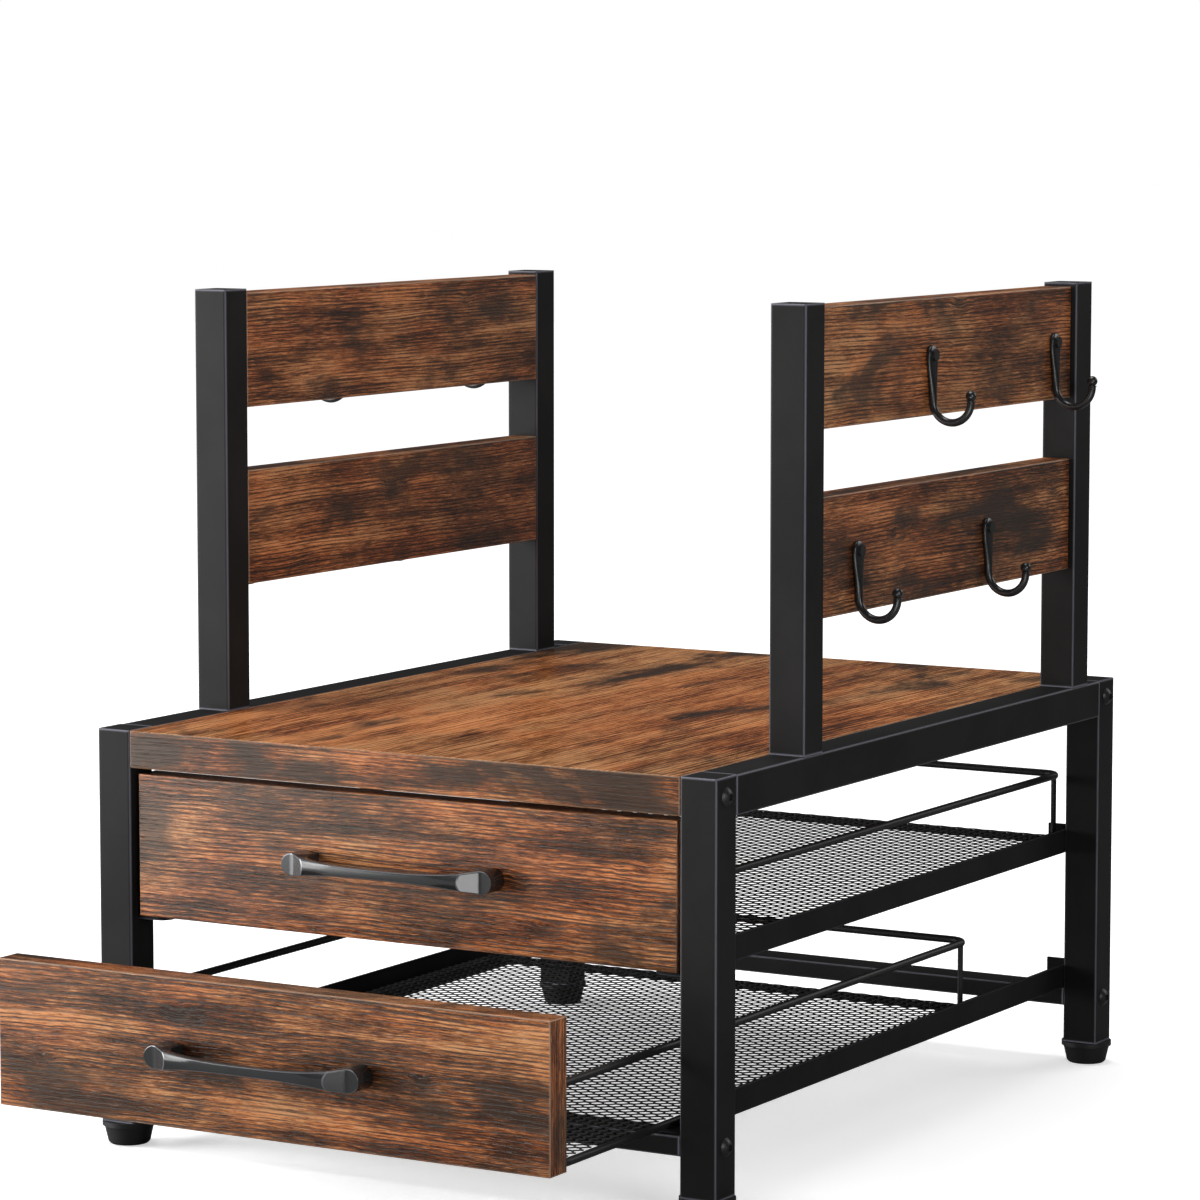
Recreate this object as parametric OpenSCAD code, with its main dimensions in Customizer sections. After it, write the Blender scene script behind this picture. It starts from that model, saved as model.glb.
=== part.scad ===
// Two-drawer coffee pod stand with mug racks.
// A black square-tube stand carries a wooden top, two pull-out wire trays with
// wooden fronts, and four uprights that hold wooden slats with mug hooks.
// +X is to the right, +Y to the back and +Z up. The origin is on the floor, at
// the middle of the whole object with the lower drawer pulled out.

/* [Stand] */
// Width over the outer faces of the posts
stand_w = 360; // [320:1:420]
// Depth over the outer faces of the posts
stand_d = 455; // [420:1:500]
// Side of the square steel tube
tube = 20; // [18:0.5:25]
// Wall of the square tube
tube_wall = 1.2; // [1:0.1:2]
// Outer corner radius of the square tube
tube_corner = 1.5; // [1.2:0.1:2.5]
// Thickness of the plates that close or back a tube end
end_plate = 3; // [2:0.5:5]

/* [Top board] */
// Thickness of the wooden top
board_t = 19; // [15:0.5:22]
// Radius that eases the edges of every wooden piece
wood_ease = 0.8; // [0.4:0.1:1.5]

/* [Cross bars] */
// Height of the cross bars that tie the posts
bar_h = 10; // [9:0.5:16]
// Wall of the cross bar tube
bar_wall = 1.2; // [1:0.1:2]
// Height of the cross bars above the post ends
bar_lift = 20; // [14:0.5:40]

/* [Runners] */
// Height of the runner's upright web
runner_h = 13; // [11:0.5:20]
// Width of the runner's ledge, from the post's inner face
runner_w = 18; // [14:0.5:24]
// Thickness of the runner's steel
runner_t = 1.5; // [1:0.1:2]
// Radius of the ledge's front corner
ledge_corner = 6; // [2:0.5:10]
// Distance of the runner's front end behind the stand's front
runner_front = 5; // [2:0.5:15]
// Distance of the runner's rear end inside the stand's back
runner_back = 1; // [0:0.5:10]
// Gap between a closed tray and the stops at the runners' rear ends
stop_gap = 0.5; // [0.4:0.1:1]

/* [Drawer fronts] */
// Height of a drawer front
panel_h = 73; // [68:1:90]
// Thickness of a drawer front
panel_t = 15; // [12:0.5:18]
// Gap between a drawer front and the post at each side
panel_side_gap = 3; // [2.5:0.1:6]
// Gap above each drawer front
panel_top_gap = 3; // [2.5:0.1:6]
// Gap between a drawer front and the runner's ledge under it
panel_lift = 0.5; // [0.4:0.1:1]
// How far a closed drawer front lies behind the posts' front faces
panel_recess = 3; // [0:0.5:5]
// How far the lower drawer is pulled out at rest
lower_open = 117; // [0:1:220]

/* [Wire trays] */
// Gap between a tray's wires and the posts at each side
tray_gap = 8; // [6:0.5:12]
// Height of a tray from the bottom of its ring to the top of its rail
tray_h = 41.5; // [35:0.5:55]
// Diameter of the ring and rail wire
wire_d = 4; // [3:0.5:5]
// Diameter of the upright wires at the tray's back corners
stay_d = 3; // [2:0.5:4]
// Bend radius of the wires, to their centre line
wire_bend = 9; // [6:0.5:16]
// Running gap between a tray and its runners
glide = 0.3; // [0.2:0.05:0.4]
// Gap left at a welded joint between two round wires
weld_gap = 0.1; // [0.05:0.05:0.2]

/* [Tray floors] */
// Thickness of the expanded metal floor
floor_t = 1; // [0.8:0.1:1.5]
// Long way of one diamond of the floor
diamond_w = 24; // [18:1:40]
// Short way of one diamond of the floor
diamond_d = 16; // [12:1:28]
// Width of the strands between diamonds
strand = 2.2; // [1.5:0.1:3]
// Width of the solid border round the diamonds, from the wires' centre line
floor_edge = 3; // [2:0.5:5]

/* [Tray fixings] */
// Thickness of the tabs that join a tray to its front
tab_t = 1.5; // [1:0.1:2]
// Width of a tab
tab_w = 10; // [8:0.5:14]
// Length of a tab
tab_l = 17; // [15:0.5:22]
// Distance of the lower tabs inside the ring's corners
tab_inset = 34; // [20:1:80]
// Distance of a tab's screw from the tab's free end
tab_screw_in = 4.5; // [3.5:0.5:6]

/* [Handles] */
// Length of a handle
handle_l = 122; // [108:1:140]
// Distance between the handle's two screws
handle_pitch = 106; // [96:1:124]
// Height of the handle at its ends
handle_h = 11.5; // [9:0.5:16]
// Height of the grip at its middle
grip_h = 6.3; // [5:0.1:8]
// How far the handle stands out from the drawer front
handle_reach = 20; // [17:0.5:30]
// Thickness of the grip from front to back
grip_t = 5; // [4:0.5:7]
// Width of each leg of the handle
handle_leg = 14; // [12:0.5:18]
// Width of the hollow cut into each end
scoop_w = 17.5; // [10:0.5:20]
// Depth of that hollow at the end of the handle
scoop_d = 5.5; // [4:0.5:8]
// Hollowness of the cut, below a straight slant
scoop_dip = 2.2; // [1:0.1:3]
// Bow of the grip between its ends
handle_bow = 2; // [1:0.5:4]
// Radius inside the handle where the grip meets a leg
leg_fillet = 6; // [3:0.5:7]
// Length of full height beyond each end of the waist
waist_margin = 1; // [0.5:0.5:3]

/* [Uprights] */
// Height of the uprights above the top board
upright_h = 220; // [200:1:300]
// Distance of the front uprights behind the stand's front
upright_front = 88; // [40:1:120]
// Distance of the rear uprights inside the stand's back
upright_back = 35; // [22:1:100]

/* [Slats] */
// Height of a slat
slat_h = 60; // [48:1:70]
// Thickness of a slat
slat_t = 16; // [12:0.5:16]
// Inset of a slat's outer face from the uprights' outer faces
slat_inset = 3.5; // [0:0.5:4]
// Distance of the upper slat below the uprights' ends
slat_top_gap = 2; // [1:0.5:20]
// Gap between the two slats of one side
slat_gap = 33; // [15:1:40]
// Diameter of the pins between a slat and its uprights
pin_d = 5; // [4:0.5:6]
// Depth of a pin in the slat's end
pin_in_slat = 12; // [8:1:20]
// Depth of a pin behind the upright's wall
pin_in_tube = 6; // [3:1:8]
// Distance of the pins from the slat's top and bottom edge
pin_inset = 12; // [10:1:20]

/* [Mug hooks] */
// Distance of the lower slat's front hook from the slat's front end
hook_front_lower = 40; // [20:1:110]
// Distance of the lower slat's rear hook from the slat's rear end
hook_rear_lower = 104; // [20:1:120]
// Distance of the upper slat's front hook from the slat's front end
hook_front_upper = 121; // [20:1:130]
// Distance of the upper slat's rear hook from the slat's rear end
hook_rear_upper = 23; // [20:1:100]
// Diameter of the hook's rod
hook_rod = 4.2; // [3.5:0.1:5]
// Radius of the hook's bend, to the rod's centre line
hook_bend = 10.7; // [9:0.1:16]
// Height of the bend's centre above the slat's bottom edge
hook_rise = 7.5; // [5:0.5:14]
// Length of the hook's flat plate above the bend's centre
hook_plate_l = 28.5; // [22:0.5:32]
// Width of the hook's plate at its top
hook_plate_w = 10; // [8:0.5:14]
// Diameter of the ball on the hook's tip
hook_ball = 5.6; // [5.2:0.1:8]
// Height of the ball's centre above the bend's centre
hook_ball_rise = 1.7; // [1.4:0.1:3]

/* [Feet] */
// Height of a foot below the post
foot_h = 12; // [8:0.5:25]
// Diameter of the foot's collar
foot_d = 27.5; // [26:0.5:34]
// Diameter of the foot's base
foot_base_d = 21.5; // [16:0.5:26]
// Height of the foot's collar
foot_collar = 2.5; // [1.5:0.5:4]
// Bevel under the foot, and step under its collar
foot_bevel = 1; // [0.5:0.1:1.5]
// Length of the foot's plug inside the post
foot_plug = 12; // [8:1:14]
// Diameter of the hollow in the plug
foot_bore = 10; // [6:0.5:12]
// Thickness of the plug under its hollow
foot_web = 1.2; // [1:0.1:3]

/* [Fasteners] */
// Diameter of the frame bolts
bolt_d = 6; // [5:0.5:6]
// Diameter of the frame bolts' heads
bolt_head = 9.5; // [9:0.5:12]
// Height of the frame bolts' heads
bolt_head_h = 2.6; // [2:0.1:4]
// Width of the hexagonal socket in a frame bolt's head, over its corners
bolt_socket = 4; // [3:0.1:5]
// Depth of a frame bolt in the board's edge
bolt_in_board = 22; // [15:1:35]
// Diameter of the small screws
screw_d = 3; // [2.5:0.1:3.5]
// Diameter of the small screws' heads
screw_head = 6; // [5:0.5:7]
// Height of the small screws' heads
screw_head_h = 2; // [1.5:0.1:2.5]
// Depth of a small screw in the wood
screw_in_wood = 10; // [6:1:11]
// Diameter of the handle screws
handle_screw = 4; // [3:0.5:5]
// Diameter of the handle screws' heads
handle_screw_head = 8; // [6:0.5:9]
// Height of the handle screws' heads
handle_screw_head_h = 2; // [1.5:0.1:3]
// Depth of a handle screw in the handle
handle_screw_in = 9; // [6:0.5:9.5]
// Radial play of a bolt, screw or pin in its hole
hole_play = 0.2; // [0.1:0.05:0.3]
// Room past the tip of a bolt, screw or pin in a blind hole
tip_room = 1; // [0.5:0.1:1.5]

/* [Hidden] */
$fn = 48;

// sides and rows that the pieces are placed by
left = -1;
right = 1;
front = 0;
rear = 1;
lower = 0;
upper = 1;

// a cut runs this far past the face that it opens
past = 1;

// sides of a circle of which only a shallow arc is used
arc_fn = 720;

// heights, from the floor up
post_z = foot_h;
bar_z = post_z + bar_lift;
runner_z0 = bar_z + bar_h;
panel_z0 = runner_z0 + runner_t + panel_lift;
level_step = panel_h + panel_top_gap;
board_z = panel_z0 + 2 * level_step;
base_top = board_z + board_t;
post_h = base_top - post_z;
upright_top = base_top + upright_h;

// widths and depths
post_x = (stand_w - tube) / 2;
inner_x = stand_w / 2 - tube;
panel_w = 2 * (inner_x - panel_side_gap);
foot_over = (foot_d - tube) / 2;
drawer_out = max(lower_open + handle_reach - panel_recess, foot_over);
stand_y = (drawer_out - foot_over - stand_d) / 2;
rail_l = stand_d - 2 * tube;
slat_y = stand_y + upright_front + tube;
slat_l = stand_d - upright_front - upright_back - 2 * tube;
slat_x = stand_w / 2 - slat_inset;
bolt_hole = bolt_d + 2 * hole_play;
pin_hole = pin_d + 2 * hole_play;
screw_hole = screw_d + 2 * hole_play;
handle_hole = handle_screw + 2 * hole_play;
hook_screw_z = hook_plate_l - hook_plate_w / 2;

// a tray, from its drawer front's bottom front edge
ring_z = glide - panel_lift + wire_d / 2;
tray_rail_z = glide - panel_lift + tray_h - wire_d / 2;
tray_back = stand_d - runner_back - runner_t - stop_gap - panel_recess;
wire_x = inner_x - tray_gap - wire_d / 2;
tab_back = panel_t + tab_t;
ring_front = tab_back + weld_gap + wire_d / 2;
ring_back = tray_back - wire_d / 2;
floor_z = ring_z + wire_d / 2 + weld_gap;

// Tabs on the back of a drawer front: two stand up from the ring's front wire
// and two hang from the rail's ends. Each entry is [x, z, z of the screw].
low_tab_z = ring_z - wire_d / 2;
high_tab_z = tray_rail_z + wire_d - tab_l;
tabs = [for (side = [left, right]) each [
  [side * (wire_x - tab_inset), low_tab_z + tab_l / 2, low_tab_z + tab_l - tab_screw_in],
  [side * wire_x, high_tab_z + tab_l / 2, high_tab_z + tab_screw_in]
]];

function post_y(row) = stand_y + (row == front ? tube / 2 : stand_d - tube / 2);
function upright_y(row) = row == front
  ? stand_y + upright_front + tube / 2
  : stand_y + stand_d - upright_back - tube / 2;
function runner_z(level) = runner_z0 + level * level_step;
function drawer_z(level) = panel_z0 + level * level_step;
function drawer_y(level) = stand_y + panel_recess - (level == lower ? lower_open : 0);
function slat_z(level) = upright_top - slat_top_gap - slat_h - (level == upper ? 0 : slat_h + slat_gap);
function hook_y(level, row) = row == front
  ? slat_y + (level == upper ? hook_front_upper : hook_front_lower)
  : slat_y + slat_l - (level == upper ? hook_rear_upper : hook_rear_lower);

// ---- shared shapes ----

module on_side(side) {
  if (side == left) mirror([1, 0, 0]) children();
  else children();
}

module rounded_rect(w, d, r) {
  square([w - 2 * r, d], center = true);
  square([w, d - 2 * r], center = true);
  for (x = [-1, 1], y = [-1, 1])
    translate([x * (w / 2 - r), y * (d / 2 - r)]) circle(r);
}

// a square tube standing on z = 0, closed at its top
module closed_tube(h) {
  difference() {
    linear_extrude(h) rounded_rect(tube, tube, tube_corner);
    translate([0, 0, -past])
      linear_extrude(h + past - tube_wall) square(tube - 2 * tube_wall, center = true);
  }
}

// a wooden board centred on the origin, every edge eased
module eased_board(w, d, h) {
  intersection() {
    linear_extrude(h, center = true) rounded_rect(w, d, wood_ease);
    rotate([90, 0, 0]) linear_extrude(d, center = true) rounded_rect(w, h, wood_ease);
    rotate([90, 0, 90]) linear_extrude(w, center = true) rounded_rect(d, h, wood_ease);
  }
}

// a button-head bolt along -Z, its head's seat at z = 0
module frame_bolt(length) {
  dome_r = (bolt_head * bolt_head / 4 + bolt_head_h * bolt_head_h) / (2 * bolt_head_h);
  difference() {
    intersection() {
      cylinder(d = bolt_head, h = bolt_head_h);
      translate([0, 0, bolt_head_h - dome_r]) sphere(dome_r);
    }
    translate([0, 0, bolt_head_h / 2]) cylinder(d = bolt_socket, h = bolt_head_h, $fn = 6);
  }
  translate([0, 0, -length]) cylinder(d = bolt_d, h = length);
}

// a wood screw along -Z, its pan head's seat at z = 0
module small_screw(length) {
  cylinder(d = screw_head, h = screw_head_h);
  translate([0, 0, -length]) cylinder(d = screw_d, h = length);
}

// ---- stand ----

module post(side, row) {
  color("#1f1f20")
    difference() {
      translate([side * post_x, post_y(row), post_z]) closed_tube(post_h);
      for (z = [bar_z + bar_h / 2, board_z + board_t / 2])
        translate([side * post_x, post_y(row), z])
          rotate([0, 90, 0]) cylinder(d = bolt_hole, h = tube + 2 * past, center = true);
    }
}

module top_rail(side) {
  color("#1f1f20")
    difference() {
      translate([side * post_x, stand_y + stand_d / 2, base_top - tube / 2]) {
        rotate([90, 0, 0])
          linear_extrude(rail_l, center = true)
            difference() {
              rounded_rect(tube, tube, tube_corner);
              square(tube - 2 * tube_wall, center = true);
            }
      }
      for (row = [front, rear])
        translate([side * post_x, upright_y(row), base_top - tube - past])
          cylinder(d = bolt_hole, h = tube + 2 * past);
    }
}

module top_board() {
  color("#6b4630")
    difference() {
      translate([0, stand_y + stand_d / 2, board_z + board_t / 2])
        eased_board(2 * inner_x, stand_d, board_t);
      for (side = [left, right], row = [front, rear])
        translate([side * (inner_x + past), post_y(row), board_z + board_t / 2])
          rotate([0, -90 * side, 0]) cylinder(d = bolt_hole, h = past + bolt_in_board + tip_room);
    }
}

module cross_bar(row) {
  color("#1f1f20")
    translate([0, post_y(row), bar_z + bar_h / 2])
      rotate([90, 0, 90])
        difference() {
          linear_extrude(2 * inner_x, center = true) rounded_rect(tube, bar_h, tube_corner);
          linear_extrude(2 * (inner_x - end_plate), center = true)
            square([tube - 2 * bar_wall, bar_h - 2 * bar_wall], center = true);
          cylinder(d = bolt_hole, h = 2 * (inner_x + past), center = true);
        }
}

// An L-shaped rail with its rear end bent up as the stop of the closed tray.
module runner(side, level) {
  length = stand_d - runner_front - runner_back;
  color("#1f1f20")
    on_side(side)
      translate([inner_x, stand_y + runner_front, runner_z(level)]) {
        translate([-runner_t, 0, 0]) cube([runner_t, length, runner_h]);
        linear_extrude(runner_t) {
          translate([-runner_w, ledge_corner]) square([runner_w, length - ledge_corner]);
          translate([-runner_w + ledge_corner, 0]) square([runner_w - ledge_corner, length]);
          translate([-runner_w + ledge_corner, ledge_corner]) circle(ledge_corner);
        }
        translate([-runner_w, length - runner_t, 0]) cube([runner_w, runner_t, runner_h]);
      }
}

module foot(side, row) {
  plug = tube - 2 * tube_wall - 2 * hole_play;
  color("#17181a")
    translate([side * post_x, post_y(row), 0]) {
      rotate_extrude()
        polygon([
          [0, 0],
          [foot_base_d / 2 - foot_bevel, 0],
          [foot_base_d / 2, foot_bevel],
          [foot_d / 2 - foot_bevel, foot_h - foot_collar],
          [foot_d / 2, foot_h - foot_collar],
          [foot_d / 2, foot_h],
          [0, foot_h]
        ]);
      difference() {
        translate([0, 0, foot_h + foot_plug / 2]) cube([plug, plug, foot_plug], center = true);
        translate([0, 0, foot_h + foot_web]) cylinder(d = foot_bore, h = foot_plug);
      }
    }
}

// ---- mug racks ----

module upright(side, row) {
  toward = row == front ? 1 : -1;
  color("#3a3a3c")
    difference() {
      union() {
        translate([side * post_x, upright_y(row), base_top]) closed_tube(upright_h);
        translate([side * post_x, upright_y(row), base_top + end_plate / 2])
          cube([tube - 2 * tube_wall, tube - 2 * tube_wall, end_plate], center = true);
      }
      translate([side * post_x, upright_y(row), base_top - past])
        cylinder(d = bolt_hole, h = end_plate + 2 * past);
      for (level = [lower, upper], edge = [pin_inset, slat_h - pin_inset])
        translate([side * (slat_x - slat_t / 2), upright_y(row) + toward * tube / 2, slat_z(level) + edge])
          rotate([90, 0, 0]) cylinder(d = pin_hole, h = 2 * tube_wall + past, center = true);
    }
}

module slat(side, level) {
  color("#6b4630")
    on_side(side)
      difference() {
        translate([slat_x - slat_t / 2, slat_y + slat_l / 2, slat_z(level) + slat_h / 2])
          eased_board(slat_t, slat_l, slat_h);
        for (y = [slat_y, slat_y + slat_l], edge = [pin_inset, slat_h - pin_inset])
          translate([slat_x - slat_t / 2, y, slat_z(level) + edge])
            rotate([90, 0, 0]) cylinder(d = pin_hole, h = 2 * (pin_in_slat + tip_room), center = true);
        for (row = [front, rear])
          translate([slat_x + past, hook_y(level, row), slat_z(level) + hook_rise + hook_screw_z])
            rotate([0, -90, 0]) cylinder(d = screw_hole, h = past + screw_in_wood + tip_room);
      }
}

// A rod bent up through half a turn, with a ball on its tip, that runs into a
// flat tapered plate against the slat.
module hook(side, level, row) {
  color("#232325")
    on_side(side)
      translate([slat_x, hook_y(level, row), slat_z(level) + hook_rise]) {
        translate([hook_rod / 2 + hook_bend, 0, 0]) {
          rotate([-90, 0, 0]) rotate_extrude(angle = 180) translate([hook_bend, 0]) circle(d = hook_rod);
          translate([hook_bend, 0, hook_ball_rise]) sphere(d = hook_ball);
        }
        difference() {
          rotate([90, 0, 90])
            linear_extrude(hook_rod) {
              translate([0, hook_screw_z]) circle(d = hook_plate_w);
              polygon([
                [-hook_rod / 2, 0],
                [hook_rod / 2, 0],
                [hook_plate_w / 2, hook_screw_z],
                [-hook_plate_w / 2, hook_screw_z]
              ]);
            }
          translate([-past, 0, hook_screw_z])
            rotate([0, 90, 0]) cylinder(d = screw_hole, h = hook_rod + 2 * past);
          translate([hook_rod - screw_head_h, 0, hook_screw_z])
            rotate([0, 90, 0]) cylinder(d = screw_head + 2 * hole_play, h = screw_head_h + past);
        }
      }
}

// ---- drawers ----

module in_drawer(level) {
  translate([0, drawer_y(level), drawer_z(level)]) children();
}

module drawer_front(level) {
  color("#6b4630")
    in_drawer(level)
      difference() {
        translate([0, panel_t / 2, panel_h / 2]) eased_board(panel_w, panel_t, panel_h);
        for (side = [left, right])
          translate([side * handle_pitch / 2, -past, panel_h / 2])
            rotate([-90, 0, 0]) cylinder(d = handle_hole, h = panel_t + 2 * past);
        for (tab = tabs)
          translate([tab[0], panel_t + past, tab[2]])
            rotate([90, 0, 0]) cylinder(d = screw_hole, h = past + screw_in_wood + tip_room);
      }
}

// radius of an arc over a chord, from the arc's rise
function arc_radius(chord, rise) = (chord * chord / 4 + rise * rise) / (2 * rise);

// The handle seen from above: a bowed grip on two legs, a hollow in each end
module handle_plan() {
  bow_r = arc_radius(handle_l, handle_bow);
  void_w = handle_l - 2 * handle_leg;
  void_d = handle_reach - grip_t;
  scoop_chord = norm([scoop_w, scoop_d]);
  scoop_r = arc_radius(scoop_chord, scoop_dip);
  off = scoop_r - scoop_dip;
  difference() {
    intersection() {
      translate([-handle_l, -handle_reach - past]) square([2 * handle_l, handle_reach + past]);
      translate([0, bow_r - handle_reach]) circle(bow_r, $fn = arc_fn);
    }
    intersection() {
      rounded_rect(void_w, 2 * (void_d + past), leg_fillet);
      translate([0, bow_r - void_d]) circle(bow_r, $fn = arc_fn);
    }
    for (side = [left, right])
      translate([
        side * (handle_l / 2 - scoop_w / 2 + off * scoop_d / scoop_chord),
        -handle_reach + scoop_d / 2 - off * scoop_w / scoop_chord
      ])
        circle(scoop_r);
  }
}

// The handle seen from the front: a grip with round ends, waisted by two arcs
module handle_face() {
  end_r = handle_h / 2;
  waist_half = handle_l / 2 - end_r - waist_margin;
  waist_r = arc_radius(2 * waist_half, (handle_h - grip_h) / 2);
  difference() {
    union() {
      square([handle_l - handle_h, handle_h], center = true);
      for (side = [left, right]) translate([side * (handle_l - handle_h) / 2, 0]) circle(end_r);
    }
    for (edge = [-1, 1]) translate([0, edge * (grip_h / 2 + waist_r)]) circle(waist_r, $fn = arc_fn);
  }
}

module handle(level) {
  color("#2c2d30")
    in_drawer(level)
      translate([0, 0, panel_h / 2])
        difference() {
          intersection() {
            linear_extrude(handle_h + 2 * past, center = true) handle_plan();
            translate([0, past, 0]) rotate([90, 0, 0]) linear_extrude(handle_reach + 3 * past) handle_face();
          }
          for (side = [left, right])
            translate([side * handle_pitch / 2, past, 0])
              rotate([90, 0, 0]) cylinder(d = handle_hole, h = past + handle_screw_in + tip_room);
        }
}

module handle_screws(level) {
  color("#8d8f92")
    in_drawer(level)
      for (side = [left, right])
        translate([side * handle_pitch / 2, panel_t, panel_h / 2])
          rotate([90, 0, 0]) {
            translate([0, 0, -handle_screw_head_h]) cylinder(d = handle_screw_head, h = handle_screw_head_h);
            cylinder(d = handle_screw, h = panel_t + handle_screw_in);
          }
}

// one straight wire from a to b, along X or Y
module wire_along(a, b) {
  run = b - a;
  translate(a)
    rotate(run[0] != 0 ? [0, 90 * sign(run[0]), 0] : [-90 * sign(run[1]), 0, 0])
      cylinder(d = wire_d, h = norm(run));
}

// a quarter bend of the wire about the point at
module wire_corner(at, turn) {
  translate(at)
    rotate([0, 0, turn])
      rotate_extrude(angle = 90) translate([wire_bend, 0]) circle(d = wire_d);
}

// a wire that runs back from y = start, across the tray's back and forward again
module wire_u(start, z) {
  for (side = [left, right])
    wire_along([side * wire_x, start, z], [side * wire_x, ring_back - wire_bend, z]);
  wire_along([-wire_x + wire_bend, ring_back, z], [wire_x - wire_bend, ring_back, z]);
  wire_corner([wire_x - wire_bend, ring_back - wire_bend, z], 0);
  wire_corner([-wire_x + wire_bend, ring_back - wire_bend, z], 90);
}

module tray_ring(level) {
  color("#1b1b1c")
    in_drawer(level) {
      wire_u(ring_front + wire_bend, ring_z);
      wire_along([-wire_x + wire_bend, ring_front, ring_z], [wire_x - wire_bend, ring_front, ring_z]);
      wire_corner([-wire_x + wire_bend, ring_front + wire_bend, ring_z], 180);
      wire_corner([wire_x - wire_bend, ring_front + wire_bend, ring_z], 270);
    }
}

module tray_rail(level) {
  color("#1b1b1c") in_drawer(level) wire_u(tab_back, tray_rail_z);
}

// the upright wires stand on the floor, where the bends of ring and rail pass the corner
module tray_stays(level) {
  bottom = floor_z + floor_t;
  top = tray_rail_z - wire_d / 2 - weld_gap;
  out = wire_bend * (1 - sin(45));
  color("#1b1b1c")
    in_drawer(level)
      for (side = [left, right])
        translate([side * (wire_x - out), ring_back - out, bottom]) cylinder(d = stay_d, h = top - bottom);
}

// Expanded metal: rows of diamonds, every second row half a diamond across.
// A diamond on the border is cut off straight by it.
module tray_floor(level) {
  w = 2 * (wire_x - floor_edge);
  d = ring_back - ring_front - 2 * floor_edge;
  across = round(w / diamond_w);
  along = round(d / diamond_d);
  step_x = w / across;
  step_y = d / along;
  open_x = step_x / 2 - strand * norm([step_x, step_y]) / (2 * step_y);
  open_y = step_y / 2 - strand * norm([step_x, step_y]) / (2 * step_x);
  centres = concat(
    [for (i = [0:across - 1], j = [0:along - 1]) [(i + 0.5) * step_x, (j + 0.5) * step_y]],
    [for (i = [1:across - 1], j = [0:along]) [i * step_x, j * step_y]],
    [for (i = [0, across], j = [1:along - 1]) [i * step_x, j * step_y]]
  );
  corners = [[open_x, 0], [0, open_y], [-open_x, 0], [0, -open_y]];
  color("#1b1b1c")
    in_drawer(level)
      translate([-w / 2, ring_front + floor_edge, floor_z])
        linear_extrude(floor_t)
          difference() {
            translate([w / 2, d / 2]) rounded_rect(w + 2 * floor_edge, d + 2 * floor_edge, wire_bend);
            for (c = centres)
              polygon([for (k = corners) [min(max(c[0] + k[0], 0), w), min(max(c[1] + k[1], 0), d)]]);
          }
}

module tray_tabs(level) {
  color("#1b1b1c")
    in_drawer(level)
      difference() {
        for (tab = tabs)
          translate([tab[0], panel_t + tab_t / 2, tab[1]]) cube([tab_w, tab_t, tab_l], center = true);
        for (tab = tabs)
          translate([tab[0], panel_t - past, tab[2]])
            rotate([-90, 0, 0]) cylinder(d = screw_hole, h = tab_t + 2 * past);
      }
}

module tray_screws(level) {
  color("#8d8f92")
    in_drawer(level)
      for (tab = tabs)
        translate([tab[0], tab_back, tab[2]]) rotate([-90, 0, 0]) small_screw(tab_t + screw_in_wood);
}

// ---- fasteners of the stand ----

module cross_bar_bolts() {
  color("#232325")
    for (side = [left, right], row = [front, rear])
      on_side(side)
        translate([stand_w / 2, post_y(row), bar_z + bar_h / 2])
          rotate([0, 90, 0]) frame_bolt(tube + 2 * end_plate);
}

module board_bolts() {
  color("#232325")
    for (side = [left, right], row = [front, rear])
      on_side(side)
        translate([stand_w / 2, post_y(row), board_z + board_t / 2])
          rotate([0, 90, 0]) frame_bolt(tube + bolt_in_board);
}

module upright_bolts() {
  color("#232325")
    for (side = [left, right], row = [front, rear])
      translate([side * post_x, upright_y(row), base_top - tube])
        rotate([180, 0, 0]) frame_bolt(tube + 2 * end_plate);
}

module slat_pins() {
  color("#8d8f92")
    for (side = [left, right], level = [lower, upper], edge = [pin_inset, slat_h - pin_inset])
      translate([side * (slat_x - slat_t / 2), 0, slat_z(level) + edge]) {
        translate([0, slat_y - tube_wall - pin_in_tube, 0])
          rotate([-90, 0, 0]) cylinder(d = pin_d, h = pin_in_tube + tube_wall + pin_in_slat);
        translate([0, slat_y + slat_l - pin_in_slat, 0])
          rotate([-90, 0, 0]) cylinder(d = pin_d, h = pin_in_tube + tube_wall + pin_in_slat);
      }
}

module hook_screws() {
  under_head = hook_rod - screw_head_h;
  color("#232325")
    for (side = [left, right], level = [lower, upper], row = [front, rear])
      on_side(side)
        translate([slat_x + under_head, hook_y(level, row), slat_z(level) + hook_rise + hook_screw_z])
          rotate([0, 90, 0]) small_screw(under_head + screw_in_wood);
}

post(left, front);  // post_front_left
post(right, front);  // post_front_right
post(left, rear);  // post_rear_left
post(right, rear);  // post_rear_right
top_rail(left);  // top_rail_left
top_rail(right);  // top_rail_right
top_board();
cross_bar(front);  // cross_bar_front
cross_bar(rear);  // cross_bar_rear
runner(left, upper);  // runner_upper_left
runner(right, upper);  // runner_upper_right
runner(left, lower);  // runner_lower_left
runner(right, lower);  // runner_lower_right
upright(left, front);  // upright_front_left
upright(right, front);  // upright_front_right
upright(left, rear);  // upright_rear_left
upright(right, rear);  // upright_rear_right
slat(left, upper);  // slat_upper_left
slat(right, upper);  // slat_upper_right
slat(left, lower);  // slat_lower_left
slat(right, lower);  // slat_lower_right
hook(left, upper, front);  // hook_upper_left_front
hook(left, upper, rear);  // hook_upper_left_rear
hook(right, upper, front);  // hook_upper_right_front
hook(right, upper, rear);  // hook_upper_right_rear
hook(left, lower, front);  // hook_lower_left_front
hook(left, lower, rear);  // hook_lower_left_rear
hook(right, lower, front);  // hook_lower_right_front
hook(right, lower, rear);  // hook_lower_right_rear
foot(left, front);  // foot_front_left
foot(right, front);  // foot_front_right
foot(left, rear);  // foot_rear_left
foot(right, rear);  // foot_rear_right
cross_bar_bolts();
board_bolts();
upright_bolts();
slat_pins();
hook_screws();
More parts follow.
